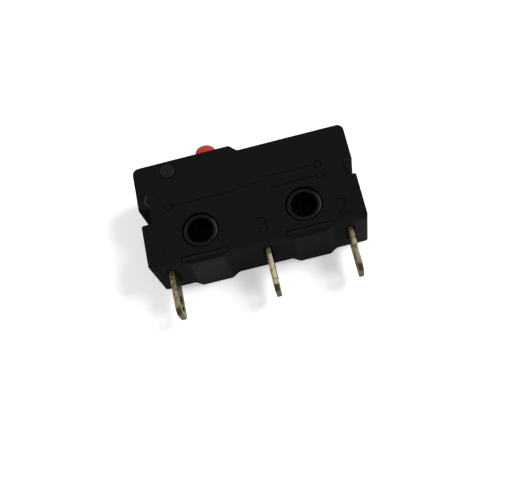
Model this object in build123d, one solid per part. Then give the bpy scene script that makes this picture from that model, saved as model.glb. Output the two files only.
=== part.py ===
from build123d import *
import math
import os

os.makedirs("parts", exist_ok=True)

# Subminiature snap-action switch, in millimetres.
# X runs along the length, Y towards the plunger, Z out of the cover; the back face is z = 0
# and the origin is on the axis of the left mounting hole.

# Overall size and mounting holes
LENGTH = 19.8
THICKNESS = 6.4
HOLE_D = 2.36
END_TO_HOLE = 5.15
FLAT_BELOW_HOLE = 2.52
TOP_ABOVE_HOLE = 7.46

HOLE_SPACING = LENGTH - 2 * END_TO_HOLE
LEFT_X = -END_TO_HOLE
RIGHT_X = LEFT_X + LENGTH
FLAT_Y = -FLAT_BELOW_HOLE
TOP_Y = TOP_ABOVE_HOLE
HOLES_X = (0.0, HOLE_SPACING)

# Raised part of the top edge round the plunger, with a ramp down to the right
STEP_FROM_END = 9.26
STEP_X = LEFT_X + STEP_FROM_END
STEP_DROP = 0.66
RAMP_RUN = 0.64

# Notches through both ends
NOTCH_Y = 1.70
NOTCH_H = 1.4
LEFT_NOTCH_D = 0.98
RIGHT_NOTCH_D = 0.82

# Bumps under the mounting holes
BUMP_H = 0.42
BUMP_FLAT_W = 2.9
BUMP_BASE_W = 4.3

# Corner radii of the outline
TOP_CORNER_R = 0.62
RAMP_R = 0.45
LOWER_CORNER_R = 0.25
NOTCH_LIP_R = 0.2
NOTCH_ROOT_R = 0.12
BUMP_ROOT_R = 0.6
BUMP_EDGE_R = 0.35

# Case and cover
COVER_T = 0.8
CASE_T = THICKNESS - COVER_T
FLOOR_T = 1.0
EDGE_CHAMFER = 0.06
JOINT_GAP = 0.02
CUT_OVER = 0.1

# Tubular bosses, which carry the mounting holes through the cover
BOSS_WALL = 0.43
BOSS_D = HOLE_D + 2 * BOSS_WALL
BOSS_RECESS = 0.12
BOSS_RIM_R = 0.45 * BOSS_WALL
BOSS_MOUTH_R = 0.25 * BOSS_WALL
BOSS_GAP = 0.08

# Parts of the case that come up through the cover beside the bumps
TAB_W = 4.2
TAB_TOP_Y = -2.22
TAB_RECESS = 0.1
TAB_GAP = 0.07

# Staking post with its head pressed down in the cover, and the shallow ejector mark
POST_D = 1.0
POST_HEAD_D = 1.36
POST_SEAT_DEEP = 0.25
POST_X = -1.88
POST_Y = 6.38
POST_PROUD = 0.2
POST_HEAD_R = 0.12
MARK_D = 1.5
MARK_X = -3.69
MARK_Y = 3.95
MARK_DEEP = 0.08

# Terminals
STRIP_T = 0.45
STRIP_W = 2.8
STRIP_MID_Z = THICKNESS / 2
COM_FROM_END = 1.63
COM_TO_NO = 8.94
NC_FROM_END = 1.66
COM_X = LEFT_X + COM_FROM_END
NO_X = COM_X + COM_TO_NO
NC_X = RIGHT_X - NC_FROM_END
STRIP_END_Y = -6.55
STRIP_END_CHAMFER = 0.5
SOLDER_HOLE_D = 1.6
SOLDER_HOLE_Y = -5.25
BEND_R = 0.5
SLOT_GAP = 0.02
SLOT_WALL_T = 0.65
SLOT_WALL_TOP_Y = 1.75
ROOT_POCKET_W = 0.8
ROOT_POCKET_DEEP = 0.25
ROOT_POCKET_SIDE = 0.15
ARM_END_R = 0.7
ARM_PAST_CONTACT = 0.95

# Blade of spring strip, level at rest
BLADE_T = 0.12
BLADE_W = 2.9
BLADE_Y = 3.96
WINDOW_W = 1.5
TONGUE_W = 1.1
TONGUE_TIP_Y = 3.1
NC_TO_CONTACT = 1.64
TONGUE_TO_CONTACT = 3.05
WINDOW_FROM_END = 7.85
WINDOW_CORNER_R = 0.3
SHOULDER_RUN = 0.9
NECK_RUN = 0.6
PAD_R = 0.95
CONTACT_X = NC_X - NC_TO_CONTACT
TONGUE_ROOT_X = CONTACT_X - TONGUE_TO_CONTACT
WINDOW_LEFT_X = LEFT_X + WINDOW_FROM_END

# Contacts and the throw between them
CONTACT_GAP = 0.45
MOVING_HEAD_D = 1.5
MOVING_HEAD_H = 0.35
FIXED_HEAD_D = 1.7
FIXED_HEAD_H = 0.4
SHANK_D = 0.8
HEAD_EDGE = 0.08

# Common terminal's blade anchor and tongue hook
ARM_W = 1.3
COM_ARM_Y = 2.25
HOOK_FROM_END = 8.45
HOOK_X = LEFT_X + HOOK_FROM_END
HOOK_TOP_Y = 3.55
EAR_TOP_Y = 4.5
SEAT_DEEP = 0.14
SEAT_H = 0.36
SEAT_SINK = 0.06

# Plunger
PLUNGER_D = 2.0
PLUNGER_FROM_END = 6.75
PLUNGER_X = LEFT_X + PLUNGER_FROM_END
PLUNGER_TOP_Y = 9.55
PLUNGER_EDGE_R = 0.6
GUIDE_GAP = 0.04
FLANGE_W = 2.6
FLANGE_L = 3.4
FLANGE_H = 0.45
FLANGE_GAP = 0.05
FLANGE_CORNER_R = 0.3
FOOT_D = 0.8

# Room inside the case
CAVITY_TOP_Y = 5.5
CAVITY_BOTTOM_Y = -1.6
CAVITY_R = 0.3

# Sizes that follow from the ones above
BLADE_TOP_Y = BLADE_Y + BLADE_T / 2
BLADE_UNDER_Y = BLADE_Y - BLADE_T / 2
NC_FACE_Y = BLADE_TOP_Y + MOVING_HEAD_H
NO_FACE_Y = BLADE_UNDER_Y - MOVING_HEAD_H - CONTACT_GAP
NC_ARM_Y = NC_FACE_Y + FIXED_HEAD_H + STRIP_T / 2
NO_ARM_Y = NO_FACE_Y - FIXED_HEAD_H - STRIP_T / 2
NO_ARM_END_X = CONTACT_X + ARM_PAST_CONTACT
NC_ARM_END_X = CONTACT_X - ARM_PAST_CONTACT
CAVITY_LEFT_X = COM_X - STRIP_T / 2 - SLOT_GAP
CAVITY_RIGHT_X = NC_X + STRIP_T / 2 + SLOT_GAP
STRIPS_X = (COM_X, NO_X, NC_X)


def outline(with_bumps):
    """Front outline of the housing, one radius for each corner."""
    bottom = [(LEFT_X, FLAT_Y, LOWER_CORNER_R)]
    if with_bumps:
        for x in HOLES_X:
            bottom += [
                (x - BUMP_BASE_W / 2, FLAT_Y, BUMP_ROOT_R),
                (x - BUMP_FLAT_W / 2, FLAT_Y - BUMP_H, BUMP_EDGE_R),
                (x + BUMP_FLAT_W / 2, FLAT_Y - BUMP_H, BUMP_EDGE_R),
                (x + BUMP_BASE_W / 2, FLAT_Y, BUMP_ROOT_R),
            ]
    right_in = RIGHT_X - RIGHT_NOTCH_D
    left_in = LEFT_X + LEFT_NOTCH_D
    corners = bottom + [
        (RIGHT_X, FLAT_Y, LOWER_CORNER_R),
        (RIGHT_X, NOTCH_Y, NOTCH_LIP_R),
        (right_in, NOTCH_Y, NOTCH_ROOT_R),
        (right_in, NOTCH_Y + NOTCH_H, NOTCH_ROOT_R),
        (RIGHT_X, NOTCH_Y + NOTCH_H, NOTCH_ROOT_R),
        (RIGHT_X, TOP_Y - STEP_DROP, TOP_CORNER_R),
        (STEP_X + RAMP_RUN, TOP_Y - STEP_DROP, RAMP_R),
        (STEP_X, TOP_Y, RAMP_R),
        (LEFT_X, TOP_Y, TOP_CORNER_R),
        (LEFT_X, NOTCH_Y + NOTCH_H, NOTCH_ROOT_R),
        (left_in, NOTCH_Y + NOTCH_H, NOTCH_ROOT_R),
        (left_in, NOTCH_Y, NOTCH_ROOT_R),
        (LEFT_X, NOTCH_Y, NOTCH_LIP_R),
    ]
    points = [(x, y) for x, y, _ in corners]
    radii = [r for _, _, r in corners]
    return make_face(FilletPolyline(*points, radius=radii, close=True))


def block(x0, x1, y0, y1, z0, z1):
    """Plain block between two corners."""
    box = Box(x1 - x0, y1 - y0, z1 - z0)
    return Pos((x0 + x1) / 2, (y0 + y1) / 2, (z0 + z1) / 2) * box


def rod_z(x, y, diameter, z0, z1):
    """Round bar along Z."""
    return Pos(x, y, (z0 + z1) / 2) * Cylinder(diameter / 2, z1 - z0)


def rod_y(x, z, diameter, y0, y1):
    """Round bar along Y."""
    return Pos(x, (y0 + y1) / 2, z) * Rot(90, 0, 0) * Cylinder(diameter / 2, y1 - y0)


def flat_edges(solid, z):
    """Edges that lie in the plane at height z."""
    return solid.edges().filter_by_position(Axis.Z, z - 0.001, z + 0.001)


def make_case():
    """Housing half with bosses, bumps, guide, terminal slots and staking post."""
    body = extrude(outline(True), CASE_T)
    body = chamfer(flat_edges(body, 0), EDGE_CHAMFER)
    room = RectangleRounded(
        CAVITY_RIGHT_X - CAVITY_LEFT_X, CAVITY_TOP_Y - CAVITY_BOTTOM_Y, CAVITY_R
    )
    room_mid = ((CAVITY_LEFT_X + CAVITY_RIGHT_X) / 2, (CAVITY_BOTTOM_Y + CAVITY_TOP_Y) / 2)
    body -= Pos(room_mid[0], room_mid[1], FLOOR_T) * extrude(room, CASE_T)

    guide_d = PLUNGER_D + 2 * GUIDE_GAP
    guide_ends = (CAVITY_TOP_Y - CUT_OVER, TOP_Y + CUT_OVER)
    body -= rod_y(PLUNGER_X, STRIP_MID_Z, guide_d, *guide_ends)
    body -= block(
        PLUNGER_X - guide_d / 2, PLUNGER_X + guide_d / 2, *guide_ends, STRIP_MID_Z, CASE_T + CUT_OVER
    )

    half_slot = STRIP_T / 2 + SLOT_GAP
    slot_z = STRIP_MID_Z - STRIP_W / 2 - SLOT_GAP
    for x in STRIPS_X:
        walls_x0 = max(x - half_slot - SLOT_WALL_T, CAVITY_LEFT_X - CUT_OVER)
        walls_x1 = min(x + half_slot + SLOT_WALL_T, CAVITY_RIGHT_X + CUT_OVER)
        walls_y0 = CAVITY_BOTTOM_Y - CUT_OVER
        body += block(walls_x0, walls_x1, walls_y0, SLOT_WALL_TOP_Y, FLOOR_T / 2, CASE_T)
        body -= block(
            x - half_slot, x + half_slot,
            FLAT_Y - CUT_OVER, SLOT_WALL_TOP_Y + CUT_OVER, slot_z, CASE_T + CUT_OVER,
        )
        body -= block(
            x - ROOT_POCKET_W / 2, x + ROOT_POCKET_W / 2,
            FLAT_Y - CUT_OVER, FLAT_Y + ROOT_POCKET_DEEP,
            slot_z - ROOT_POCKET_SIDE, STRIP_MID_Z + STRIP_W / 2 + ROOT_POCKET_SIDE,
        )

    boss_top = THICKNESS - BOSS_RECESS
    for x in HOLES_X:
        boss = rod_z(x, 0, BOSS_D, FLOOR_T / 2, boss_top) - rod_z(x, 0, HOLE_D, 0, boss_top)
        boss = fillet(flat_edges(boss, boss_top).sort_by(SortBy.RADIUS)[-1], BOSS_RIM_R)
        boss = fillet(flat_edges(boss, boss_top).sort_by(SortBy.RADIUS)[0], BOSS_MOUTH_R)
        body += boss
        tab = extrude(outline(True), THICKNESS - TAB_RECESS)
        tab &= block(
            x - TAB_W / 2, x + TAB_W / 2, FLAT_Y - BUMP_H, TAB_TOP_Y, CASE_T / 2, THICKNESS
        )
        body += tab
    for x in HOLES_X:
        body -= rod_z(x, 0, HOLE_D, -CUT_OVER, THICKNESS)

    post_top = THICKNESS + POST_PROUD
    head = rod_z(POST_X, POST_Y, POST_HEAD_D, THICKNESS - POST_SEAT_DEEP, post_top)
    body += rod_z(POST_X, POST_Y, POST_D, CASE_T / 2, post_top)
    body += fillet(flat_edges(head, post_top), POST_HEAD_R)
    return body


def make_cover():
    """Front plate with holes for the bosses and the post, guide rib and terminal lugs."""
    plate = Pos(0, 0, CASE_T) * extrude(outline(False), COVER_T)
    plate = chamfer(flat_edges(plate, THICKNESS), EDGE_CHAMFER)
    through = (CASE_T - CUT_OVER, THICKNESS + CUT_OVER)
    for x in HOLES_X:
        plate -= rod_z(x, 0, BOSS_D + 2 * BOSS_GAP, *through)
        plate -= block(
            x - TAB_W / 2 - TAB_GAP, x + TAB_W / 2 + TAB_GAP,
            FLAT_Y - CUT_OVER, TAB_TOP_Y + TAB_GAP, *through,
        )
    plate -= rod_z(POST_X, POST_Y, POST_D + 2 * JOINT_GAP, *through)
    plate -= rod_z(POST_X, POST_Y, POST_HEAD_D + 2 * JOINT_GAP, THICKNESS - POST_SEAT_DEEP, through[1])
    plate -= rod_z(MARK_X, MARK_Y, MARK_D, THICKNESS - MARK_DEEP, THICKNESS + CUT_OVER)

    guide_r = PLUNGER_D / 2 + GUIDE_GAP
    rib = block(
        PLUNGER_X - guide_r + JOINT_GAP, PLUNGER_X + guide_r - JOINT_GAP,
        CAVITY_TOP_Y, TOP_Y - JOINT_GAP, STRIP_MID_Z + guide_r / 3, CASE_T,
    )
    rib -= rod_y(PLUNGER_X, STRIP_MID_Z, 2 * guide_r, CAVITY_TOP_Y - CUT_OVER, TOP_Y + CUT_OVER)
    plate += rib

    lug_z = STRIP_MID_Z + STRIP_W / 2 + SLOT_GAP
    for x in STRIPS_X:
        plate += block(
            x - STRIP_T / 2, x + STRIP_T / 2,
            FLAT_Y + JOINT_GAP, SLOT_WALL_TOP_Y, lug_z, CASE_T,
        )
    return plate


def make_plunger():
    """Button with rounded end, shoulder that keeps it in, and half-round foot on the blade."""
    flange_top = CAVITY_TOP_Y - FLANGE_GAP
    stem = rod_y(PLUNGER_X, STRIP_MID_Z, PLUNGER_D, flange_top - FLANGE_H, PLUNGER_TOP_Y)
    end_edge = stem.edges().sort_by(Axis.Y)[-1]
    stem = fillet(end_edge, PLUNGER_EDGE_R)
    flange = Pos(PLUNGER_X, flange_top - FLANGE_H / 2, STRIP_MID_Z) * Box(FLANGE_W, FLANGE_H, FLANGE_L)
    flange = fillet(flange.edges().filter_by(Axis.Y), FLANGE_CORNER_R)
    foot_y = BLADE_TOP_Y + FOOT_D / 2
    foot_ends = (STRIP_MID_Z - BLADE_W / 2, STRIP_MID_Z + BLADE_W / 2)
    foot = rod_z(PLUNGER_X, foot_y, FOOT_D, *foot_ends)
    foot += block(
        PLUNGER_X - FOOT_D / 2, PLUNGER_X + FOOT_D / 2, foot_y, flange_top - FLANGE_H / 2, *foot_ends
    )
    return stem + flange + foot


def strip(points, width):
    """Flat strip of terminal metal that follows a bent path in the XY plane."""
    path = FilletPolyline(*points, radius=BEND_R) if len(points) > 2 else Line(*points)
    face = trace(path, line_width=STRIP_T)
    return Pos(0, 0, STRIP_MID_Z - width / 2) * extrude(face, width)


def finish_leg(body, x):
    """Chamfers the corners of a terminal's solder end and cuts its hole."""
    ends = body.edges().filter_by(Axis.X).group_by(Axis.Y)[0]
    body = chamfer(ends, STRIP_END_CHAMFER)
    hole = Pos(x, SOLDER_HOLE_Y, STRIP_MID_Z) * Rot(0, 90, 0) * Cylinder(SOLDER_HOLE_D / 2, 2 * STRIP_T)
    return body - hole


def seat(x, y, side):
    """V-shaped seat in a strip's face, where a spring edge rests; side is +1 for a face at +X."""
    tip = (x - side * SEAT_DEEP, y)
    mouth = x + side * CUT_OVER
    opening = SEAT_H / 2 * (SEAT_DEEP + CUT_OVER) / SEAT_DEEP
    face = make_face(Polyline(tip, (mouth, y - opening), (mouth, y + opening), close=True))
    return extrude(face, THICKNESS)


def make_com_terminal():
    """Common terminal: leg, two ears that anchor the blade, and the arm with the tongue hook."""
    leg = strip([(COM_X, STRIP_END_Y), (COM_X, COM_ARM_Y - BEND_R)], STRIP_W)
    ears = strip([(COM_X, COM_ARM_Y - BEND_R), (COM_X, EAR_TOP_Y)], STRIP_W)
    ears -= strip([(COM_X, COM_ARM_Y - BEND_R), (COM_X, EAR_TOP_Y)], ARM_W)
    arm = strip(
        [(COM_X, COM_ARM_Y - 2 * BEND_R), (COM_X, COM_ARM_Y), (HOOK_X, COM_ARM_Y), (HOOK_X, HOOK_TOP_Y)],
        ARM_W,
    )
    body = leg + ears + arm
    body -= seat(COM_X + STRIP_T / 2, BLADE_Y, 1)
    body -= seat(HOOK_X + STRIP_T / 2, TONGUE_TIP_Y, 1)
    return finish_leg(body, COM_X)


def make_fixed_terminal(x, arm_y, arm_end_x):
    """Terminal whose inner end bends over to carry a fixed contact."""
    body = strip([(x, STRIP_END_Y), (x, arm_y), (arm_end_x, arm_y)], STRIP_W)
    body = finish_leg(body, x)
    arm_end = body.edges().filter_by(Axis.Y).filter_by_position(Axis.X, arm_end_x - 0.01, arm_end_x + 0.01)
    body = fillet(arm_end, ARM_END_R)
    return body - rod_y(CONTACT_X, STRIP_MID_Z, SHANK_D, arm_y - STRIP_T, arm_y + STRIP_T)


def make_fixed_contact(arm_y, face_y):
    """Fixed contact: a head that faces the blade and a shank riveted through the arm."""
    up = 1 if face_y > arm_y else -1
    near = arm_y + up * STRIP_T / 2
    far = arm_y - up * STRIP_T / 2
    head = rod_y(CONTACT_X, STRIP_MID_Z, FIXED_HEAD_D, min(near, face_y), max(near, face_y))
    rim = head.edges().filter_by_position(Axis.Y, face_y - 0.001, face_y + 0.001)
    head = chamfer(rim, HEAD_EDGE)
    return head + rod_y(CONTACT_X, STRIP_MID_Z, SHANK_D, min(near, far), max(near, far))


def make_moving_contact():
    """Moving contact: two heads, one on each face of the blade, on one shank."""
    upper = rod_y(CONTACT_X, STRIP_MID_Z, MOVING_HEAD_D, BLADE_TOP_Y, BLADE_TOP_Y + MOVING_HEAD_H)
    upper = chamfer(upper.edges().sort_by(Axis.Y)[-1], HEAD_EDGE)
    lower = rod_y(CONTACT_X, STRIP_MID_Z, MOVING_HEAD_D, BLADE_UNDER_Y - MOVING_HEAD_H, BLADE_UNDER_Y)
    lower = chamfer(lower.edges().sort_by(Axis.Y)[0], HEAD_EDGE)
    shank = rod_y(CONTACT_X, STRIP_MID_Z, SHANK_D, BLADE_UNDER_Y, BLADE_TOP_Y)
    return upper + lower + shank


def make_snap_blade():
    """One-piece snap spring: frame with two side arms, contact pad, and bowed tongue."""
    left_x = COM_X + STRIP_T / 2 - SEAT_SINK
    shoulder_x = TONGUE_ROOT_X + SHOULDER_RUN
    neck_x = CONTACT_X - NECK_RUN
    half_w = BLADE_W / 2
    side = [
        (left_x, -half_w), (shoulder_x, -half_w), (neck_x, -PAD_R), (CONTACT_X, -PAD_R),
        (CONTACT_X, PAD_R), (neck_x, PAD_R), (shoulder_x, half_w), (left_x, half_w),
    ]
    frame = make_face(Polyline(*side, close=True)) + Pos(CONTACT_X, 0) * Circle(PAD_R)
    window_w = TONGUE_ROOT_X - WINDOW_LEFT_X
    frame -= Pos(WINDOW_LEFT_X + window_w / 2, 0) * RectangleRounded(window_w, WINDOW_W, WINDOW_CORNER_R)
    frame -= Pos(CONTACT_X, 0) * Circle(SHANK_D / 2)
    lay_flat = Pos(0, BLADE_TOP_Y, STRIP_MID_Z) * Rot(90, 0, 0)
    plate = lay_flat * extrude(frame, BLADE_T)

    tip_x = HOOK_X + STRIP_T / 2 - SEAT_SINK
    drop = BLADE_Y - TONGUE_TIP_Y
    reach = TONGUE_ROOT_X - tip_x
    bow_r = (reach**2 + drop**2) / (2 * drop)
    sweep = math.degrees(math.asin(reach / bow_r))
    bow = CenterArc((TONGUE_ROOT_X, BLADE_Y - bow_r), bow_r, 90, sweep)
    root = Line((TONGUE_ROOT_X, BLADE_Y), (TONGUE_ROOT_X + 2 * BLADE_T, BLADE_Y))
    tongue = extrude(trace(bow, line_width=BLADE_T), TONGUE_W)
    tongue += extrude(trace(root, line_width=BLADE_T), TONGUE_W)
    return plate + Pos(0, 0, STRIP_MID_Z - TONGUE_W / 2) * tongue


pieces = {
    "case": make_case(),
    "cover": make_cover(),
    "plunger": make_plunger(),
    "com_terminal": make_com_terminal(),
    "no_terminal": make_fixed_terminal(NO_X, NO_ARM_Y, NO_ARM_END_X),
    "nc_terminal": make_fixed_terminal(NC_X, NC_ARM_Y, NC_ARM_END_X),
    "snap_blade": make_snap_blade(),
    "moving_contact": make_moving_contact(),
    "no_contact": make_fixed_contact(NO_ARM_Y, NO_FACE_Y),
    "nc_contact": make_fixed_contact(NC_ARM_Y, NC_FACE_Y),
}

for name, solid in pieces.items():
    solid.label = name
    export_step(solid, f"parts/{name}.step")
    box = solid.bounding_box()
    print(name, round(solid.volume, 3), [round(v, 2) for v in (*box.min, *box.max)], len(solid.solids()))
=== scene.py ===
import math

import bmesh
import bpy
from mathutils import Matrix, Vector


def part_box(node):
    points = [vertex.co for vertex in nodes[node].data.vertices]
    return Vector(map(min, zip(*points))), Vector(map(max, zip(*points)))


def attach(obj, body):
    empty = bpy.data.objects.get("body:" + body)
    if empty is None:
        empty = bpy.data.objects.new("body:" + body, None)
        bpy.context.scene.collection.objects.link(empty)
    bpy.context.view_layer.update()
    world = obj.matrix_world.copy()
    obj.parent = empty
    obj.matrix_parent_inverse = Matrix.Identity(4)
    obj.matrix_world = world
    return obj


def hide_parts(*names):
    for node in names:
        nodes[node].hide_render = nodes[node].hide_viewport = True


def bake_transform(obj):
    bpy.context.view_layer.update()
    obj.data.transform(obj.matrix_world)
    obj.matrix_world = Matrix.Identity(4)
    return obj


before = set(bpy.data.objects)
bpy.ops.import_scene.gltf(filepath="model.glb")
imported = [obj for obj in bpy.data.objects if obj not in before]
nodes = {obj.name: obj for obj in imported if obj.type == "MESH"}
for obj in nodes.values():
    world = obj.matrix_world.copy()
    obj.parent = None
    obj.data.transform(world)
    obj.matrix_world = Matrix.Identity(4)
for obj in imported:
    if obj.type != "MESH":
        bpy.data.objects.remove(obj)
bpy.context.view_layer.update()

MM = 0.001

# Further out than anything on the switch, in millimetres
FAR = 100.0

# Camera of the photograph, in millimetres in the switch's own frame
CAMERA_AT = Vector((8.21, -27.53, 71.10))
CAMERA_AIM = Vector((4.41, 0.0, 0.0))
CAMERA_ROLL = math.radians(-12.85)
PICTURE_WIDTH = 515
FOCAL_PIXELS = 794.7
SENSOR_WIDTH = 36.0
CLIP_NEAR = 1.0
CLIP_FAR = 10000.0

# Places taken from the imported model, in metres
CASE_LOW, CASE_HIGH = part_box("case")
BLADE_LOW, BLADE_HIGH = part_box("snap_blade")
FACE_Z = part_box("cover")[1].z

# The blade, in millimetres: the place under the plunger, the tongue's ends, and the opening around the
# tongue, given as its half width and how far it reaches past the tip
PLUNGER_X = 1.6
TONGUE_TIP_X = 3.47
TONGUE_ROOT_X = 8.3
OPENING_HALF = 0.66
OPENING_AHEAD = 0.3

# How many lengths a bending strip is divided into
BENDS = 14

# White floor: its colour and finish, what the camera and what reflections see added to it, and its
# half width in metres
FLOOR_WHITE = 0.86
FLOOR_ROUGH = 0.9
FLOOR_SHINE = 0.1
FLOOR_LIFT = 0.42
MIRROR_LIFT = 0.14
FLOOR_HALF = 0.6

# How far the floor lies under the back face, and how far inside the case's box its unbrightened part
# ends, in millimetres
FLOOR_DROP = 0.02
FOOTPRINT_INSET = 1.2

# Strength of the even surround, and the lamps: place, aim and width in millimetres, power in watts
SURROUND = 0.36
KEY_LAMP = ((-700, 300, 500), (5, 2, 0), 600, 2.3)
RIM_LAMP = ((600, 60, 690), (5, 2, 3), 380, 7.2)

# Engraving on the cover, in millimetres: each digit's place and depth, the 1 worn nearly flat
ENGRAVE_DEEP = 0.12
STROKE = 0.24
DIGIT_TALL = 1.35
DIGIT_WIDE = 0.9
DIGITS = {
    "1": (-3.68, -1.07, 0.03),
    "3": (5.43, -1.01, ENGRAVE_DEEP),
    "2": (12.62, -1.10, ENGRAVE_DEEP),
}

# Plain changeover diagram over the holes: terminal ring, pivot, blade and two contacts
DIAGRAM_Y = 2.85
DIAGRAM_LEFT_X = -2.4
DIAGRAM_PIVOT_X = 2.7
DIAGRAM_CONTACT_X = 6.9
DIAGRAM_RIGHT_X = 11.5
DIAGRAM_RISE = 0.55
DIAGRAM_RING_R = 0.36
DIAGRAM_STROKE = 0.17

# Steps in an arc of the engraving, and the least lean at a bend, which keeps sharp bends short
ARC_STEPS = 14
LEAN_LEAST = 0.5

# Places of the zones with a finish of their own, in millimetres, and how softly a zone ends
SOFT = 0.03
FRONT_Z = 6.1

# The mounting holes: bore, lip, ring, and the ring's painted highlight, as places from the hole's axis
HOLES = ((0.0, 0.0), (9.5, 0.0))
BORE_R = 1.23
LIP_R = 1.31
RING_R = 1.7
RING_HIGHLIGHT_R = (1.36, 1.58)
RING_HIGHLIGHT_X = (1.25, 2.2)
RING_HIGHLIGHT_Y = (-0.3, 0.8)
RING_HIGHLIGHT_SOFT = 0.3
RING_HIGHLIGHT_R_SOFT = 0.06

# The staking post's head, the ejector mark's rim with painted light and the side with a painted
# highlight
POST = ((-1.88, 6.38),)
POST_R = 0.8
MARK = ((-3.69, 3.95),)
MARK_RIM_R = (0.68, 0.77)
MARK_HIGHLIGHT_X = (-4.3, -4.1)

# The bumps' low faces and tops, how far right the left one reaches, the right end's flat and the
# end notches, which place the case's painted light and painted shade
BUMP_FLAT_Y = -2.85
BUMP_TOP_Y = -2.52
LEFT_BUMP_X = 4.5
END_FLAT_X = 13.2
NOTCH_Y = (1.6, 3.2)
LEFT_NOTCH_X = -4.12
RIGHT_NOTCH_X = 13.7
NOTCH_CORNER = 0.22
# Heights over which the painted shade in the right notch fades out
NOTCH_SHADE_Z = (3.4, 4.8)

# The plunger's foot with its painted shade, the terminals' sheared ends, and where the painted shade on
# the sides of the middle and right terminals starts and how far it reaches
PLUNGER_SHADE_Y = (8.1, 8.8)
END_Y = (-6.5, -6.4)
# Painted shade along the low X side of the middle and right terminals
NO_SHADE_X = 5.195
NC_SHADE_X = 12.765
SIDE_SHADE_REACH = 0.28

# Colours of the black plastic, and what the zones of the housing take instead
CASE_BLACK = (0.0040, 0.0042, 0.0041)
COVER_BLACK = (0.0017, 0.0021, 0.0020)
GROOVE_BLACK = (0.0020, 0.0024, 0.0023)
# Painted shade: near black in the end notches and inside the mounting holes' bores
PAINTED_SHADE_BLACK = (0.0006, 0.0006, 0.0007)
# The rings' own dark tone, and painted shade on the bumps' tops under the joint and on the bores' lips
RING_AND_SHADE_BLACK = (0.0004, 0.0004, 0.0005)
# Painted light: a paler wall in the right notch
PAINTED_LIGHT_WALL_BLACK = (0.0110, 0.0114, 0.0111)
HEAD_BLACK = (0.0050, 0.0052, 0.0053)
# Painted light: a paler low face on the left bump and flat at the right end
PAINTED_LIGHT_BUMP_BLACK = (0.0062, 0.0064, 0.0063)
# Paler edges: partly wear, partly a painted highlight
EDGE_WEAR_AND_HIGHLIGHT_BLACK = (0.0100, 0.0104, 0.0102)
# Painted light on the ejector mark's rim, and a painted highlight on its left side
PAINTED_LIGHT_RIM_BLACK = (0.0050, 0.0052, 0.0050)
MARK_HIGHLIGHT_BLACK = (0.0280, 0.0284, 0.0270)
# Painted highlight on the right side of the boss rings
RING_HIGHLIGHT_BLACK = (0.0270, 0.0275, 0.0272)

# Black plastic: grain and flow marks with their size and depth in millimetres, how much darker and
# lighter the flow marks are, how strongly the edges are paled by wear and a painted highlight, how
# round the edges are, and the cosines of the turns at which an edge starts and is fully paled
CASE_SHINE = 0.10
COVER_SHINE = 0.09
GRAIN_SIZE = 0.09
GRAIN_DEEP = 0.006
FLOW_SIZE = 3.2
FLOW_DEEP = 0.01
FLOW_STRETCH = (1.0, 0.55, 1.0)
FLOW_STOPS = (0.35, 0.65)
FLOW_SHARES = (0.75, 1.3)
BLACK_ROUGH = (0.84, 0.94)
WEAR_AND_HIGHLIGHT = (0.35, 0.75)
BLACK_ROUND = 0.1
EDGE_TURN = (0.99, 0.86)

# Red plastic, sizes and depths in millimetres
RED_DARK = (0.365, 0.026, 0.0130)
RED_LIGHT = (0.485, 0.040, 0.0175)
# Painted shade at the plunger's foot, next to the case
RED_FOOT_SHADE = (0.12, 0.012, 0.008)
RED_CLOUD_SIZE = 0.8
RED_GRAIN_SIZE = 0.05
RED_GRAIN_DEEP = 0.003
RED_ROUGH = (0.42, 0.52)
RED_SHINE = 0.12
RED_SCATTER = 0.05
RED_SCATTER_DEEP = 0.2
RED_ROUND = 0.05

# Dark and light colour of each strip, then those of the terminals' rolled faces and cut corners, the
# last a painted shade
COM_BRASS = ((0.125, 0.107, 0.065), (0.28, 0.242, 0.15))
NO_BRASS = ((0.27, 0.227, 0.145), (0.60, 0.512, 0.34))
NC_BRASS = ((0.15, 0.128, 0.078), (0.34, 0.293, 0.182))
BLADE_COPPER = ((0.50, 0.27, 0.14), (0.72, 0.43, 0.25))
FLAT_BRASS = (0.102, 0.092, 0.050)
SLANT_SHADE_BRASS = (0.045, 0.038, 0.020)
GRAZING_TINT = (0.92, 0.89, 0.73)

# Strip metal: clouds of tarnish, rolling lines, stains and streaks, sizes and depths in millimetres
TARNISH_SIZE = 1.1
TARNISH_STOPS = (0.3, 0.62)
LINE_SIZE = 0.05
LINE_DEEP = 0.004
ROLLED_ALONG_X = (0.12, 1.0, 1.0)
ROLLED_ALONG_Y = (1.0, 0.12, 1.0)
STAIN_SIZE = 0.3
STAIN_RANGE = (0.46, 0.58)
STAIN_MOST = 0.85
STAIN_SHARES = (0.75, 0.55, 0.35)
STREAK_SIZE = 0.5
STREAK_STRETCH = (1.0, 0.35, 1.0)
STREAK_STOPS = (0.35, 0.68)
STREAK_SHARES = (0.7, 1.6)
METAL_ROUGH = (0.46, 0.3)
METAL_ROUND = 0.05

# How dark a sheared end is beside a rolled face, how strong the painted shade on a terminal's side is,
# and how squarely a face looks along X, or between Y and Z, to count as rolled or as a cut corner with
# painted shade
END_SHARE = 0.3
SIDE_SHADE_SHARE = 0.8
ROLLED_FACING = (0.5, 0.9)
SLANT_SHADE_FACING = (0.3, 0.45)

# Contact metal
SILVER_DARK = (0.55, 0.54, 0.51)
SILVER_LIGHT = (0.78, 0.77, 0.74)
SILVER_CLOUD_SIZE = 0.4
SILVER_DEEP = 0.004
SILVER_ROUGH = (0.22, 0.36)
SILVER_ROUND = 0.04

# Middle of a noise's range, and how finely edges are rounded
NOISE_MIDDLE = (0.3, 0.7)
BEVEL_SAMPLES = 6


# Node helpers

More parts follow.
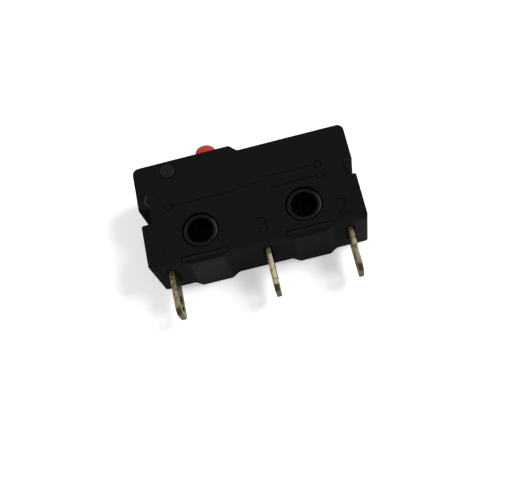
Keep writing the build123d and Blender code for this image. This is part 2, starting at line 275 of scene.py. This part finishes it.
def new_material(name):
    """A material, its node tree, its Principled shader and the place on the object."""
    material = bpy.data.materials.new(name)
    material.use_nodes = True
    tree = material.node_tree
    shader = tree.nodes["Principled BSDF"]
    place = tree.nodes.new("ShaderNodeTexCoord")
    return material, tree, shader, place.outputs["Object"]


def noise(tree, place, size_mm, detail=3.0, roughness=0.5, stretch=None):
    """Noise whose features are about size_mm across; stretch scales its axes."""
    if stretch is not None:
        mapping = tree.nodes.new("ShaderNodeMapping")
        mapping.inputs["Scale"].default_value = stretch
        tree.links.new(place, mapping.inputs["Vector"])
        place = mapping.outputs["Vector"]
    node = tree.nodes.new("ShaderNodeTexNoise")
    node.inputs["Scale"].default_value = 1.0 / (size_mm * MM)
    node.inputs["Detail"].default_value = detail
    node.inputs["Roughness"].default_value = roughness
    tree.links.new(place, node.inputs["Vector"])
    return node.outputs["Fac"]


def ramp(tree, value, positions, colours):
    """Colour ramp from one colour to another between two positions."""
    node = tree.nodes.new("ShaderNodeValToRGB")
    for element, position, colour in zip(node.color_ramp.elements, positions, colours):
        element.position = position
        element.color = (*colour, 1.0)
    tree.links.new(value, node.inputs["Fac"])
    return node.outputs["Color"]


def remap(tree, value, start, end, low, high):
    """Maps the range from start to end onto low to high, and holds it there outside."""
    node = tree.nodes.new("ShaderNodeMapRange")
    for socket, number in zip(("From Min", "From Max", "To Min", "To Max"), (start, end, low, high)):
        node.inputs[socket].default_value = number
    tree.links.new(value, node.inputs["Value"])
    return node.outputs["Result"]


def fade(tree, value, start_mm, end_mm, low=1.0, high=0.0):
    """Goes from low to high between two places given in millimetres."""
    return remap(tree, value, start_mm * MM, end_mm * MM, low, high)


def spread(tree, value, low, high):
    """Maps the middle of a noise to a range."""
    return remap(tree, value, *NOISE_MIDDLE, low, high)


def maths(tree, operation, one, two):
    """Math node on two sockets or numbers."""
    node = tree.nodes.new("ShaderNodeMath")
    node.operation = operation
    for socket, value in zip(node.inputs, (one, two)):
        if isinstance(value, float):
            socket.default_value = value
        else:
            tree.links.new(value, socket)
    return node.outputs["Value"]


def scaled(colour, share):
    """A colour times a share."""
    return tuple(share * c for c in colour)


def blend_colour(tree, share, one, two):
    """Colour one where share is 0, two where it is 1."""
    node = tree.nodes.new("ShaderNodeMix")
    node.data_type = "RGBA"
    tree.links.new(share, node.inputs["Factor"])
    for socket, value in ((node.inputs["A"], one), (node.inputs["B"], two)):
        if isinstance(value, tuple):
            socket.default_value = (*value, 1.0)
        else:
            tree.links.new(value, socket)
    return node.outputs["Result"]


def split(tree, place):
    """The three coordinates of a place."""
    node = tree.nodes.new("ShaderNodeSeparateXYZ")
    tree.links.new(place, node.inputs["Vector"])
    return node.outputs["X"], node.outputs["Y"], node.outputs["Z"]


def relief(tree, shader, layers, edge_mm):
    """Rounds the edges, then adds bump layers of (height, depth in millimetres)."""
    edge = tree.nodes.new("ShaderNodeBevel")
    edge.samples = BEVEL_SAMPLES
    edge.inputs["Radius"].default_value = edge_mm * MM
    normal = edge.outputs["Normal"]
    for height, depth_mm in layers:
        bump = tree.nodes.new("ShaderNodeBump")
        bump.inputs["Distance"].default_value = depth_mm * MM
        tree.links.new(height, bump.inputs["Height"])
        tree.links.new(normal, bump.inputs["Normal"])
        normal = bump.outputs["Normal"]
    tree.links.new(normal, shader.inputs["Normal"])


# Zones

def within(tree, value, low, high, soft=SOFT):
    """1 where a value in metres lies between two millimetre limits, 0 outside, soft at the limits."""
    rise = fade(tree, value, low - soft, low + soft, 0.0, 1.0)
    fall = fade(tree, value, high - soft, high + soft)
    return maths(tree, "MULTIPLY", rise, fall)


def off_axis(tree, x, y, centres):
    """Distance from the nearest of some upright axes."""
    nearest = None
    for centre in centres:
        across = maths(tree, "SUBTRACT", x, centre[0] * MM)
        along = maths(tree, "SUBTRACT", y, centre[1] * MM)
        across = maths(tree, "MULTIPLY", across, across)
        along = maths(tree, "MULTIPLY", along, along)
        away = maths(tree, "SQRT", maths(tree, "ADD", across, along), 0.0)
        nearest = away if nearest is None else maths(tree, "MINIMUM", nearest, away)
    return nearest


def lit_notch_wall(tree, x, y):
    """The right notch's wall outside its corner, painted paler as painted light."""
    outer = within(tree, x, RIGHT_NOTCH_X + NOTCH_CORNER, FAR)
    return maths(tree, "MULTIPLY", within(tree, y, *NOTCH_Y), outer)


def notch_shade(tree, x, y, z):
    """Share of the painted shade in the end notches: all of the left one, the corner and depth of the
    right.
    """
    left = within(tree, x, -FAR, LEFT_NOTCH_X)
    right = within(tree, x, RIGHT_NOTCH_X, FAR)
    corner = within(tree, x, RIGHT_NOTCH_X, RIGHT_NOTCH_X + NOTCH_CORNER)
    deep = fade(tree, z, *NOTCH_SHADE_Z)
    right = maths(tree, "MULTIPLY", right, maths(tree, "MAXIMUM", corner, deep))
    return maths(tree, "MULTIPLY", within(tree, y, *NOTCH_Y), maths(tree, "MAXIMUM", left, right))


def ring_highlight(tree, x, y, away):
    """The right side of each boss ring, where a highlight is painted."""
    share = None
    for centre in HOLES:
        side = within(tree, x, centre[0] + RING_HIGHLIGHT_X[0], centre[0] + RING_HIGHLIGHT_X[1], RING_HIGHLIGHT_SOFT)
        share = side if share is None else maths(tree, "MAXIMUM", share, side)
    share = maths(tree, "MULTIPLY", share, within(tree, y, *RING_HIGHLIGHT_Y, RING_HIGHLIGHT_SOFT))
    return maths(tree, "MULTIPLY", share, within(tree, away, *RING_HIGHLIGHT_R, RING_HIGHLIGHT_R_SOFT))


def case_zones(tree, place):
    """The case's zones, each as its share from 0 to 1, its colour and what it adds to roughness."""
    x, y, z = split(tree, place)
    hole = off_axis(tree, x, y, HOLES)
    front = within(tree, z, FRONT_Z, FAR)
    low_edge = within(tree, y, -FAR, BUMP_FLAT_Y)
    left_bump = maths(tree, "MULTIPLY", low_edge, within(tree, x, -FAR, LEFT_BUMP_X))
    # Painted shade on the bumps' tops, under the joint line
    bump_top_shade = maths(tree, "MULTIPLY", within(tree, y, -FAR, BUMP_TOP_Y), front)
    ring = maths(tree, "MULTIPLY", within(tree, hole, LIP_R, RING_R), front)
    # Painted shade on the lips at the bores' mouths
    shaded_lip = maths(tree, "MULTIPLY", within(tree, hole, -FAR, LIP_R), front)
    head = maths(tree, "MULTIPLY", within(tree, off_axis(tree, x, y, POST), -FAR, POST_R), front)
    return [
        # Painted light on the left bump's low face and the right end's flat
        (maths(tree, "MAXIMUM", left_bump, within(tree, x, END_FLAT_X, FAR)), PAINTED_LIGHT_BUMP_BLACK, -0.1),
        (bump_top_shade, RING_AND_SHADE_BLACK, 0.05),
        (ring, RING_AND_SHADE_BLACK, -0.62),
        # Painted highlight on the rings' right sides
        (maths(tree, "MULTIPLY", ring_highlight(tree, x, y, hole), front), RING_HIGHLIGHT_BLACK, 0.0),
        (shaded_lip, RING_AND_SHADE_BLACK, -0.1),
        (head, HEAD_BLACK, -0.55),
        # Painted light on the right notch's wall
        (lit_notch_wall(tree, x, y), PAINTED_LIGHT_WALL_BLACK, 0.0),
        # Painted shade in the end notches and inside the bores
        (notch_shade(tree, x, y, z), PAINTED_SHADE_BLACK, 0.1),
        (within(tree, hole, -FAR, BORE_R), PAINTED_SHADE_BLACK, -0.6),
    ]


def cover_zones(tree, place):
    """The cover's zones in the same form: the ejector mark's painted light and highlight, and the end
    notches.
    """
    x, y, z = split(tree, place)
    rim = within(tree, off_axis(tree, x, y, MARK), *MARK_RIM_R)
    mark_highlight = maths(tree, "MULTIPLY", rim, fade(tree, x, *MARK_HIGHLIGHT_X))
    return [
        # Painted light on the mark's rim and a painted highlight on its left side
        (rim, PAINTED_LIGHT_RIM_BLACK, 0.0),
        (mark_highlight, MARK_HIGHLIGHT_BLACK, -0.4),
        # Painted light on the right notch's wall
        (lit_notch_wall(tree, x, y), PAINTED_LIGHT_WALL_BLACK, 0.0),
        # Painted shade in the end notches
        (notch_shade(tree, x, y, z), PAINTED_SHADE_BLACK, 0.1),
    ]


# Materials

def edge_share(tree, radius_mm):
    """1 on convex and concave edges, 0 on the flat faces between them."""
    rounded = tree.nodes.new("ShaderNodeBevel")
    rounded.samples = BEVEL_SAMPLES
    rounded.inputs["Radius"].default_value = radius_mm * MM
    flat = tree.nodes.new("ShaderNodeNewGeometry")
    turn = tree.nodes.new("ShaderNodeVectorMath")
    turn.operation = "DOT_PRODUCT"
    tree.links.new(rounded.outputs["Normal"], turn.inputs[0])
    tree.links.new(flat.outputs["Normal"], turn.inputs[1])
    return remap(tree, turn.outputs["Value"], *EDGE_TURN, 0.0, 1.0)


def black_plastic(name, tint, shine, zones=None):
    """Matt moulded black: spark-eroded grain, faint flow marks, edges paled by wear and a painted
    highlight.
    """
    material, tree, shader, place = new_material(name)
    grain = noise(tree, place, GRAIN_SIZE, detail=4.0)
    flow = noise(tree, place, FLOW_SIZE, detail=2.0, stretch=FLOW_STRETCH)
    colour = ramp(tree, flow, FLOW_STOPS, [scaled(tint, share) for share in FLOW_SHARES])
    rough = spread(tree, flow, *BLACK_ROUGH)
    # Paler edges, convex and concave alike: partly wear, partly a painted highlight
    edge = maths(tree, "MULTIPLY", edge_share(tree, BLACK_ROUND), spread(tree, grain, *WEAR_AND_HIGHLIGHT))
    colour = blend_colour(tree, edge, colour, EDGE_WEAR_AND_HIGHLIGHT_BLACK)
    for share, zone_colour, rougher in zones(tree, place) if zones else ():
        colour = blend_colour(tree, share, colour, zone_colour)
        rough = maths(tree, "ADD", rough, maths(tree, "MULTIPLY", share, rougher))
    tree.links.new(colour, shader.inputs["Base Color"])
    tree.links.new(rough, shader.inputs["Roughness"])
    shader.inputs["Specular IOR Level"].default_value = shine
    relief(tree, shader, [(grain, GRAIN_DEEP), (flow, FLOW_DEEP)], BLACK_ROUND)
    return material


def red_plastic():
    """Smooth moulded red, slightly cloudy, and with painted shade at the plunger's base."""
    material, tree, shader, place = new_material("plunger_red")
    cloud = noise(tree, place, RED_CLOUD_SIZE, detail=3.0)
    grain = noise(tree, place, RED_GRAIN_SIZE, detail=2.0)
    colour = ramp(tree, cloud, NOISE_MIDDLE, (RED_DARK, RED_LIGHT))
    # Painted shade at the plunger's foot
    foot_shade = fade(tree, split(tree, place)[1], *PLUNGER_SHADE_Y)
    colour = blend_colour(tree, foot_shade, colour, RED_FOOT_SHADE)
    tree.links.new(colour, shader.inputs["Base Color"])
    tree.links.new(spread(tree, grain, *RED_ROUGH), shader.inputs["Roughness"])
    shader.inputs["Specular IOR Level"].default_value = RED_SHINE
    shader.inputs["Subsurface Weight"].default_value = RED_SCATTER
    shader.inputs["Subsurface Scale"].default_value = RED_SCATTER_DEEP * MM
    relief(tree, shader, [(grain, RED_GRAIN_DEEP)], RED_ROUND)
    return material


def terminal_tints(tree, place, colour, dark, shade_x):
    """Stains on the sheared edges, painted shade on the side from shade_x on, streaky flats, dark ends
    and painted shade on slanted corners.
    """
    x, y, _ = split(tree, place)
    end_brass = scaled(FLAT_BRASS, END_SHARE)

    stain = noise(tree, place, STAIN_SIZE, detail=2.0)
    stained = tuple(share * c for share, c in zip(STAIN_SHARES, dark))
    colour = blend_colour(tree, remap(tree, stain, *STAIN_RANGE, 0.0, STAIN_MOST), colour, stained)
    if shade_x is not None:
        # Painted shade along the terminal's low X side
        side_shade = fade(tree, x, shade_x, shade_x + SIDE_SHADE_REACH, SIDE_SHADE_SHARE, 0.0)
        colour = blend_colour(tree, side_shade, colour, end_brass)

    facing = split(tree, tree.nodes.new("ShaderNodeTexCoord").outputs["Normal"])
    rolled_face = remap(tree, maths(tree, "ABSOLUTE", facing[0], 0.0), *ROLLED_FACING, 0.0, 1.0)
    streaks = noise(tree, place, STREAK_SIZE, detail=5.0, roughness=0.6, stretch=STREAK_STRETCH)
    streaky = ramp(tree, streaks, STREAK_STOPS, [scaled(FLAT_BRASS, share) for share in STREAK_SHARES])
    colour = blend_colour(tree, rolled_face, colour, streaky)
    colour = blend_colour(tree, fade(tree, y, *END_Y), colour, end_brass)

    # Painted shade on faces slanted between Y and Z
    slant = maths(tree, "ABSOLUTE", maths(tree, "MULTIPLY", facing[1], facing[2]), 0.0)
    return blend_colour(tree, remap(tree, slant, *SLANT_SHADE_FACING, 0.0, 1.0), colour, SLANT_SHADE_BRASS)


def strip_metal(name, dark, light, rolled, terminal=False, shade_x=None):
    """Strip with clouds of tarnish and fine rolling lines; a terminal has tints of its own as well."""
    material, tree, shader, place = new_material(name)
    cloud = noise(tree, place, TARNISH_SIZE, detail=5.0, roughness=0.6)
    lines = noise(tree, place, LINE_SIZE, detail=3.0, stretch=rolled)
    colour = ramp(tree, cloud, TARNISH_STOPS, (dark, light))
    if terminal:
        colour = terminal_tints(tree, place, colour, dark, shade_x)
    tree.links.new(colour, shader.inputs["Base Color"])
    tree.links.new(spread(tree, cloud, *METAL_ROUGH), shader.inputs["Roughness"])
    shader.inputs["Metallic"].default_value = 1.0
    shader.inputs["Specular Tint"].default_value = (*GRAZING_TINT, 1.0)
    relief(tree, shader, [(lines, LINE_DEEP)], METAL_ROUND)
    return material


def terminal_brass(name, brass, shade_x=None):
    """Dull brass of a terminal, rolled along Y."""
    return strip_metal(name, *brass, ROLLED_ALONG_Y, terminal=True, shade_x=shade_x)


def silver():
    """Satin silver alloy of the contacts, slightly cloudy."""
    material, tree, shader, place = new_material("contact_metal")
    cloud = noise(tree, place, SILVER_CLOUD_SIZE, detail=4.0)
    colour = ramp(tree, cloud, NOISE_MIDDLE, (SILVER_DARK, SILVER_LIGHT))
    tree.links.new(colour, shader.inputs["Base Color"])
    tree.links.new(spread(tree, cloud, *SILVER_ROUGH), shader.inputs["Roughness"])
    shader.inputs["Metallic"].default_value = 1.0
    relief(tree, shader, [(cloud, SILVER_DEEP)], SILVER_ROUND)
    return material


# Mesh helpers

def mesh_object(name, build):
    """New object whose mesh is filled in by build(bm), given in metres."""
    mesh = bpy.data.meshes.new(name)
    bm = bmesh.new()
    build(bm)
    bmesh.ops.recalc_face_normals(bm, faces=bm.faces)
    bm.to_mesh(mesh)
    bm.free()
    piece = bpy.data.objects.new(name, mesh)
    bpy.context.scene.collection.objects.link(piece)
    return piece


def ribbon(bm, path, width, z_low, z_high):
    """Closed bar of the given width along a path in the XY plane, in millimetres."""
    half = width / 2
    rows = []
    for i, point in enumerate(path):
        before = path[max(i - 1, 0)]
        after = path[min(i + 1, len(path) - 1)]
        along = (after - before).normalized()
        into = (point - before).normalized() if i > 0 else along
        side = Vector((-along.y, along.x))
        lean = max(LEAN_LEAST, abs(side.dot(Vector((-into.y, into.x)))))
        side *= half / lean
        left, right = point - side, point + side
        corners = [(left, z_low), (right, z_low), (right, z_high), (left, z_high)]
        rows.append([bm.verts.new((p.x * MM, p.y * MM, z * MM)) for p, z in corners])
    for one, two in zip(rows, rows[1:]):
        for k in range(4):
            bm.faces.new((one[k], one[(k + 1) % 4], two[(k + 1) % 4], two[k]))
    bm.faces.new(rows[0])
    bm.faces.new(rows[-1])


def arc(centre, radius, start, end):
    """Points of an arc with a radius along X and one along Y, angles in degrees."""
    points = []
    for i in range(ARC_STEPS + 1):
        angle = math.radians(start + (end - start) * i / ARC_STEPS)
        across = centre[0] + radius[0] * math.cos(angle)
        points.append(Vector((across, centre[1] + radius[1] * math.sin(angle))))
    return points


def digit_paths(digit):
    """Strokes of a plain digit in a box one unit wide and two tall, centred on zero."""
    if digit == "1":
        return [[Vector((-0.35, 0.55)), Vector((0.05, 1.0)), Vector((0.05, -1.0))]]
    if digit == "2":
        top = arc((0.0, 0.5), (0.5, 0.5), 165, -20)
        return [top + [Vector((-0.5, -1.0)), Vector((0.55, -1.0))]]
    upper = arc((-0.02, 0.5), (0.45, 0.48), 150, -90)
    lower = arc((-0.02, -0.5), (0.5, 0.5), 90, -150)
    return [upper, lower]


def diagram_paths():
    """Strokes of the changeover diagram, in millimetres on the cover."""
    high = DIAGRAM_Y + DIAGRAM_RISE
    low = DIAGRAM_Y - DIAGRAM_RISE
    rings = [
        (DIAGRAM_LEFT_X, DIAGRAM_Y),
        (DIAGRAM_RIGHT_X, high),
        (DIAGRAM_RIGHT_X, low),
    ]
    lines = [
        [(DIAGRAM_LEFT_X + DIAGRAM_RING_R, DIAGRAM_Y), (DIAGRAM_PIVOT_X, DIAGRAM_Y)],
        [(DIAGRAM_PIVOT_X, DIAGRAM_Y), (DIAGRAM_CONTACT_X, high - DIAGRAM_STROKE)],
        [(DIAGRAM_CONTACT_X, high), (DIAGRAM_RIGHT_X - DIAGRAM_RING_R, high)],
        [(DIAGRAM_CONTACT_X, low), (DIAGRAM_RIGHT_X - DIAGRAM_RING_R, low)],
    ]
    size = (DIAGRAM_RING_R, DIAGRAM_RING_R)
    circles = [arc(centre, size, 0, 360) for centre in rings]
    return circles + [[Vector(p) for p in line] for line in lines]


def engraver():
    """Closed bars that cut the digits and the diagram into the cover's face."""
    def build(bm):
        top = FACE_Z / MM + ENGRAVE_DEEP
        low = FACE_Z / MM - ENGRAVE_DEEP
        for digit, (x, y, deep) in DIGITS.items():
            for path in digit_paths(digit):
                scaled = [Vector((x + p.x * DIGIT_WIDE, y + p.y * DIGIT_TALL / 2)) for p in path]
                ribbon(bm, scaled, STROKE, FACE_Z / MM - deep, top)
        for path in diagram_paths():
            ribbon(bm, path, DIAGRAM_STROKE, low, top)
    return mesh_object("engraving_tool", build)


def block(low, high):
    """Closed block between two corners in metres, used as a cutting tool."""
    def build(bm):
        bmesh.ops.create_cube(bm, size=1.0)
        for vert in bm.verts:
            vert.co = [l if c < 0 else h for c, l, h in zip(vert.co, low, high)]
    return mesh_object("block_tool", build)


def copy_of(node, name):
    """A copy of a CAD node's mesh, to be worked on."""
    piece = bpy.data.objects.new(name, nodes[node].data.copy())
    bpy.context.scene.collection.objects.link(piece)
    return piece


def carve(piece, tool, operation="DIFFERENCE"):
    """Cuts tool out of piece, or with INTERSECT keeps what is inside it, and removes tool."""
    cut = piece.modifiers.new("carve", "BOOLEAN")
    cut.operation = operation
    cut.solver = "EXACT"
    cut.use_self = True
    cut.object = tool
    graph = bpy.context.evaluated_depsgraph_get()
    piece.data = bpy.data.meshes.new_from_object(piece.evaluated_get(graph))
    piece.modifiers.clear()
    bpy.data.objects.remove(tool)


def paint(piece, material):
    """Gives the whole piece one material."""
    piece.data.materials.clear()
    piece.data.materials.append(material)


# The switch

def dress_cover(material, groove):
    """The cover with its terminal numbers and the contact diagram cut in."""
    piece = copy_of("cover", "engraved_cover")
    carve(piece, engraver())
    paint(piece, material)
    piece.data.materials.append(groove)
    floor_z = FACE_Z - ENGRAVE_DEEP * MM
    for face in piece.data.polygons:
        if face.normal.z > 0.9 and abs(face.center.z - floor_z) < 0.01 * MM:
            face.material_index = 1
    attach(piece, "housing")
    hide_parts("cover")


def bend_rows(piece, start, end):
    """Divides a strip along X, so that it can bend smoothly."""
    bm = bmesh.new()
    bm.from_mesh(piece.data)
    for i in range(1, BENDS):
        place = (start + (end - start) * i / BENDS, 0, 0)
        everything = bm.verts[:] + bm.edges[:] + bm.faces[:]
        bmesh.ops.bisect_plane(bm, geom=everything, plane_co=place, plane_no=(1, 0, 0))
    bm.to_mesh(piece.data)
    bm.free()


def dress_blade(material):
    """The snap blade in three lengths: the anchored end and the tongue flex, the contact end swings."""
    low = BLADE_LOW - Vector((MM, MM, MM))
    high = BLADE_HIGH + Vector((MM, MM, MM))
    under_plunger = PLUNGER_X * MM
    tip = TONGUE_TIP_X * MM
    root = TONGUE_ROOT_X * MM
    middle = (BLADE_LOW.z + BLADE_HIGH.z) / 2
    side = OPENING_HALF * MM
    window = ((tip - OPENING_AHEAD * MM, low.y, middle - side), (root, high.y, middle + side))

    anchor = copy_of("snap_blade", "blade_anchor")
    carve(anchor, block(low, (under_plunger, high.y, high.z)), "INTERSECT")
    bend_rows(anchor, BLADE_LOW.x, under_plunger)
    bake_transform(anchor)

    swing = copy_of("snap_blade", "blade_swing")
    carve(swing, block((under_plunger, low.y, low.z), high), "INTERSECT")
    carve(swing, block(*window))
    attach(swing, "blade")

    tongue = copy_of("snap_blade", "blade_tongue")
    carve(tongue, block(*window), "INTERSECT")
    bend_rows(tongue, tip, root)
    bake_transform(tongue)

    for piece in (anchor, swing, tongue):
        paint(piece, material)
        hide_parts("snap_blade")


def paint_node(name, material):
    """Gives a CAD node its material."""
    paint(nodes[name], material)


# Stage

def floor_white(name, lift, mirror_lift):
    """Matt white, brightened only for the camera and, up to plain white, for reflections."""
    material = bpy.data.materials.new(name)
    material.use_nodes = True
    tree = material.node_tree
    shader = tree.nodes["Principled BSDF"]
    shader.inputs["Base Color"].default_value = (FLOOR_WHITE, FLOOR_WHITE, FLOOR_WHITE, 1)
    shader.inputs["Roughness"].default_value = FLOOR_ROUGH
    shader.inputs["Specular IOR Level"].default_value = FLOOR_SHINE
    shader.inputs["Emission Color"].default_value = (1, 1, 1, 1)
    rays = tree.nodes.new("ShaderNodeLightPath").outputs
    mirrored = maths(tree, "MAXIMUM", rays["Is Glossy Ray"], rays["Is Transmission Ray"])
    mirrored = maths(tree, "MULTIPLY", mirrored, mirror_lift)
    seen = maths(tree, "MULTIPLY", rays["Is Camera Ray"], lift)
    tree.links.new(maths(tree, "MAXIMUM", seen, mirrored), shader.inputs["Emission Strength"])
    return material


def make_floor():
    """White floor that keeps the shadow; under the switch it is not brightened."""
    inset = Vector((FOOTPRINT_INSET, FOOTPRINT_INSET, 0)) * MM
    low, high = CASE_LOW + inset, CASE_HIGH - inset
    across = (-FLOOR_HALF, low.x, high.x, FLOOR_HALF)
    along = (-FLOOR_HALF, low.y, high.y, FLOOR_HALF)

    def build(bm):
        rows = [[bm.verts.new((x, y, -FLOOR_DROP * MM)) for x in across] for y in along]
        for one, two in zip(rows, rows[1:]):
            for k in range(len(across) - 1):
                bm.faces.new((one[k], one[k + 1], two[k + 1], two[k]))
    floor = mesh_object("floor", build)
    paint(floor, floor_white("white_floor", FLOOR_LIFT, MIRROR_LIFT))
    floor.data.materials.append(floor_white("shaded_floor", 0.0, 0.0))
    for face in floor.data.polygons:
        if low.x < face.center.x < high.x and low.y < face.center.y < high.y:
            face.material_index = 1


def area_light(name, place_mm, aim_mm, size_mm, watts):
    """Round soft lamp at a place, turned to a point."""
    lamp = bpy.data.lights.new(name, "AREA")
    lamp.shape = "DISK"
    lamp.size = size_mm * MM
    lamp.energy = watts
    obj = bpy.data.objects.new(name, lamp)
    bpy.context.scene.collection.objects.link(obj)
    place = Vector(place_mm) * MM
    aim = Vector(aim_mm) * MM
    obj.location = place
    obj.rotation_euler = (aim - place).to_track_quat("-Z", "Y").to_euler()


def make_lights():
    """Soft studio light and a pale surround, which the camera and reflections see as white."""
    world = bpy.data.worlds.new("studio")
    bpy.context.scene.world = world
    world.use_nodes = True
    tree = world.node_tree
    sky = tree.nodes["Background"]
    rays = tree.nodes.new("ShaderNodeLightPath").outputs
    mirrored = maths(tree, "MAXIMUM", rays["Is Glossy Ray"], rays["Is Transmission Ray"])
    seen = maths(tree, "MAXIMUM", rays["Is Camera Ray"], mirrored)
    tree.links.new(maths(tree, "MAXIMUM", seen, SURROUND), sky.inputs["Strength"])
    sky.inputs["Color"].default_value = (1, 1, 1, 1)
    area_light("key", *KEY_LAMP)
    area_light("rim", *RIM_LAMP)


def make_camera():
    """The photograph's camera."""
    data = bpy.data.cameras.new("photo_camera")
    data.sensor_width = SENSOR_WIDTH
    data.sensor_fit = "HORIZONTAL"
    data.lens = FOCAL_PIXELS * SENSOR_WIDTH / PICTURE_WIDTH
    data.clip_start = CLIP_NEAR * MM
    data.clip_end = CLIP_FAR * MM
    camera = bpy.data.objects.new("photo_camera", data)
    bpy.context.scene.collection.objects.link(camera)
    back = (CAMERA_AT - CAMERA_AIM).normalized()
    right = Vector((0, 1, 0)).cross(back).normalized()
    up = back.cross(right)
    level = Matrix((right, up, back)).transposed()
    turn = level @ Matrix.Rotation(CAMERA_ROLL, 3, "Z")
    camera.matrix_world = Matrix.Translation(CAMERA_AT * MM) @ turn.to_4x4()
    bpy.context.scene.camera = camera


black_cover = black_plastic("cover_black", COVER_BLACK, COVER_SHINE, cover_zones)
groove = black_plastic("groove_black", GROOVE_BLACK, COVER_SHINE)
contact = silver()

dress_cover(black_cover, groove)
paint_node("case", black_plastic("case_black", CASE_BLACK, CASE_SHINE, case_zones))
paint_node("plunger", red_plastic())
paint_node("com_terminal", terminal_brass("com_metal", COM_BRASS))
paint_node("no_terminal", terminal_brass("no_metal", NO_BRASS, NO_SHADE_X))
paint_node("nc_terminal", terminal_brass("nc_metal", NC_BRASS, NC_SHADE_X))
dress_blade(strip_metal("blade_metal", *BLADE_COPPER, ROLLED_ALONG_X))
for rivet in ("moving_contact", "no_contact", "nc_contact"):
    paint_node(rivet, contact)

make_floor()
make_lights()
make_camera()
bpy.context.scene.view_settings.view_transform = "Standard"
